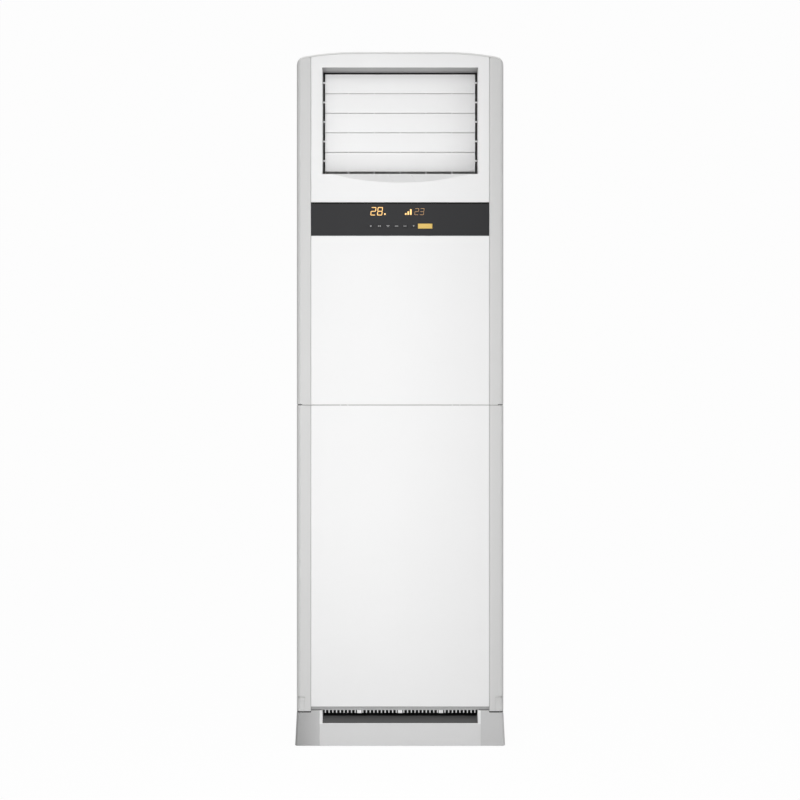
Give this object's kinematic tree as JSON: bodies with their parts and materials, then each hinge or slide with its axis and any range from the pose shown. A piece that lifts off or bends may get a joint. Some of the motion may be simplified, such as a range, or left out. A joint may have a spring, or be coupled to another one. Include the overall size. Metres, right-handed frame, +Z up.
{
  "type": "floor standing air conditioner",
  "caption": "Tall floor cabinet air conditioner with a louvred outlet in a scooped recess, a dark control strip, a hinged lower door and an intake slot in the plinth.",
  "frame": {"origin": "on the floor under the middle of the cabinet", "axes": "+Z up, along the cabinet's height; -Y out of the front; +X to the right as seen from the front"},
  "size_m": [0.561, 0.35, 1.85],
  "materials": {
    "white_moulding": "satin white",
    "grey_moulding": "matt pale grey",
    "plinth_grey": "matt grey",
    "dark_strip": "smooth dark grey",
    "black_plastic": "matt black",
    "steel": "bare galvanised",
    "painted_sheet": "powder coat",
    "copper": "drawn copper",
    "aluminium": "mill finish",
    "foam": "foam",
    "board": "circuit board",
    "amber": "lit amber"
  },
  "bodies": {
    "base": {"top_cover": "painted_sheet", "upper_front_panel": "white_moulding", "upper_right_pillar": "grey_moulding", "upper_left_pillar": "grey_moulding", "outlet_surround": "white_moulding", "control_strip": "dark_strip", "display_board": "board", "louvre_frame": "black_plastic", "vane_motor": "steel", "deflector_motor": "steel", "outlet_duct": "foam", "plinth": "plinth_grey", "intake_ramp": "black_plastic", "base_pan": "steel", "right_side_panel": "painted_sheet", "left_side_panel": "painted_sheet", "back_panel": "painted_sheet", "cross_rail": "steel", "deck": "steel", "fan_bulkhead": "steel", "fan_scroll": "steel", "fan_motor": "steel", "motor_bracket": "steel", "chamber_wall": "steel", "electrical_box": "painted_sheet", "drain_pan": "foam", "evaporator_fins": "aluminium", "evaporator_right_end": "copper", "evaporator_left_end": "copper", "suction_pipe": "copper", "liquid_pipe": "copper"},
    "door": {"door_panel": "white_moulding", "door_right_pillar": "grey_moulding", "door_left_pillar": "grey_moulding", "door_top_rail": "grey_moulding", "door_bottom_rail": "grey_moulding", "intake_comb": "white_moulding"},
    "right_catch": {"right_catch": "grey_moulding"},
    "left_catch": {"left_catch": "grey_moulding"},
    "air_filter": {"air_filter": "black_plastic"},
    "impeller": {"impeller": "black_plastic"},
    "vane_1": {"vane_1": "white_moulding"},
    "vane_2": {"vane_2": "white_moulding"},
    "vane_3": {"vane_3": "white_moulding"},
    "vane_4": {"vane_4": "white_moulding"},
    "vane_5": {"vane_5": "white_moulding"},
    "vane_link": {"vane_link": "black_plastic"},
    "deflector_1": {"deflector_1": "grey_moulding"},
    "deflector_2": {"deflector_2": "grey_moulding"},
    "deflector_3": {"deflector_3": "grey_moulding"},
    "deflector_4": {"deflector_4": "grey_moulding"},
    "deflector_5": {"deflector_5": "grey_moulding"},
    "deflector_link": {"deflector_link": "black_plastic"},
    "key_1": {"key_1": "dark_strip"},
    "key_2": {"key_2": "dark_strip"},
    "key_3": {"key_3": "dark_strip"},
    "key_4": {"key_4": "dark_strip"},
    "key_5": {"key_5": "dark_strip"},
    "key_6": {"key_6": "dark_strip"},
    "power_key": {"power_key": "amber"}
  },
  "joints": [
    {"name": "door_hinge", "type": "hinge", "parent": "base", "child": "door", "pos_m": [0, -0.166, 0.8995], "axis": [-1, 0, 0], "range_deg": [0, 15]},
    {"name": "right_catch_slide", "type": "slide", "parent": "door", "child": "right_catch", "axis": [0, 0, 1], "range_m": [0, 0.004], "stiffness_N_per_m": 250},
    {"name": "left_catch_slide", "type": "slide", "parent": "door", "child": "left_catch", "axis": [0, 0, 1], "range_m": [0, 0.004], "stiffness_N_per_m": 250},
    {"name": "filter_slide", "type": "slide", "parent": "base", "child": "air_filter", "axis": [0, 0, 1], "range_m": [0, 0.025]},
    {"name": "impeller_spin", "type": "hinge", "parent": "base", "child": "impeller", "pos_m": [0.01, 0, 0.47], "axis": [0, 1, 0], "continuous": true},
    {"name": "vane_1_pivot", "type": "hinge", "parent": "base", "child": "vane_1", "pos_m": [0, -0.103, 1.7818], "axis": [-1, 0, 0], "range_deg": [0, 100]},
    {"name": "vane_2_pivot", "type": "hinge", "parent": "base", "child": "vane_2", "pos_m": [0, -0.103, 1.7289], "axis": [-1, 0, 0], "range_deg": [0, 100]},
    {"name": "vane_3_pivot", "type": "hinge", "parent": "base", "child": "vane_3", "pos_m": [0, -0.103, 1.676], "axis": [-1, 0, 0], "range_deg": [0, 100]},
    {"name": "vane_4_pivot", "type": "hinge", "parent": "base", "child": "vane_4", "pos_m": [0, -0.103, 1.6231], "axis": [-1, 0, 0], "range_deg": [0, 100]},
    {"name": "vane_5_pivot", "type": "hinge", "parent": "base", "child": "vane_5", "pos_m": [0, -0.103, 1.5702], "axis": [-1, 0, 0], "range_deg": [0, 100]},
    {"name": "vane_link_pivot", "type": "hinge", "parent": "vane_3", "child": "vane_link", "pos_m": [-0.2166, -0.089, 1.676], "axis": [-1, 0, 0], "range_deg": [-100, 0]},
    {"name": "deflector_1_pivot", "type": "hinge", "parent": "base", "child": "deflector_1", "pos_m": [-0.142, -0.043, 1.667], "axis": [0, 0, 1], "range_deg": [-35, 35]},
    {"name": "deflector_2_pivot", "type": "hinge", "parent": "base", "child": "deflector_2", "pos_m": [-0.071, -0.043, 1.667], "axis": [0, 0, 1], "range_deg": [-35, 35]},
    {"name": "deflector_3_pivot", "type": "hinge", "parent": "base", "child": "deflector_3", "pos_m": [0, -0.043, 1.667], "axis": [0, 0, 1], "range_deg": [-35, 35]},
    {"name": "deflector_4_pivot", "type": "hinge", "parent": "base", "child": "deflector_4", "pos_m": [0.071, -0.043, 1.667], "axis": [0, 0, 1], "range_deg": [-35, 35]},
    {"name": "deflector_5_pivot", "type": "hinge", "parent": "base", "child": "deflector_5", "pos_m": [0.142, -0.043, 1.667], "axis": [0, 0, 1], "range_deg": [-35, 35]},
    {"name": "deflector_link_pivot", "type": "hinge", "parent": "deflector_3", "child": "deflector_link", "pos_m": [0, -0.019, 1.667], "axis": [0, 0, 1], "range_deg": [-35, 35]},
    {"name": "key_1_press", "type": "slide", "parent": "base", "child": "key_1", "axis": [0, 1, 0], "range_m": [0, 0.0008], "stiffness_N_per_m": 200},
    {"name": "key_2_press", "type": "slide", "parent": "base", "child": "key_2", "axis": [0, 1, 0], "range_m": [0, 0.0008], "stiffness_N_per_m": 200},
    {"name": "key_3_press", "type": "slide", "parent": "base", "child": "key_3", "axis": [0, 1, 0], "range_m": [0, 0.0008], "stiffness_N_per_m": 200},
    {"name": "key_4_press", "type": "slide", "parent": "base", "child": "key_4", "axis": [0, 1, 0], "range_m": [0, 0.0008], "stiffness_N_per_m": 200},
    {"name": "key_5_press", "type": "slide", "parent": "base", "child": "key_5", "axis": [0, 1, 0], "range_m": [0, 0.0008], "stiffness_N_per_m": 200},
    {"name": "key_6_press", "type": "slide", "parent": "base", "child": "key_6", "axis": [0, 1, 0], "range_m": [0, 0.0008], "stiffness_N_per_m": 200},
    {"name": "power_key_press", "type": "slide", "parent": "base", "child": "power_key", "axis": [0, 1, 0], "range_m": [0, 0.0008], "stiffness_N_per_m": 200}
  ],
  "couplings": [
    {"joint": "vane_1_pivot", "follows": "vane_3_pivot", "ratio": 1},
    {"joint": "vane_2_pivot", "follows": "vane_3_pivot", "ratio": 1},
    {"joint": "vane_4_pivot", "follows": "vane_3_pivot", "ratio": 1},
    {"joint": "vane_5_pivot", "follows": "vane_3_pivot", "ratio": 1},
    {"joint": "vane_link_pivot", "follows": "vane_3_pivot", "ratio": -1},
    {"joint": "deflector_1_pivot", "follows": "deflector_3_pivot", "ratio": 1},
    {"joint": "deflector_2_pivot", "follows": "deflector_3_pivot", "ratio": 1},
    {"joint": "deflector_4_pivot", "follows": "deflector_3_pivot", "ratio": 1},
    {"joint": "deflector_5_pivot", "follows": "deflector_3_pivot", "ratio": 1},
    {"joint": "deflector_link_pivot", "follows": "deflector_3_pivot", "ratio": -1}
  ]
}
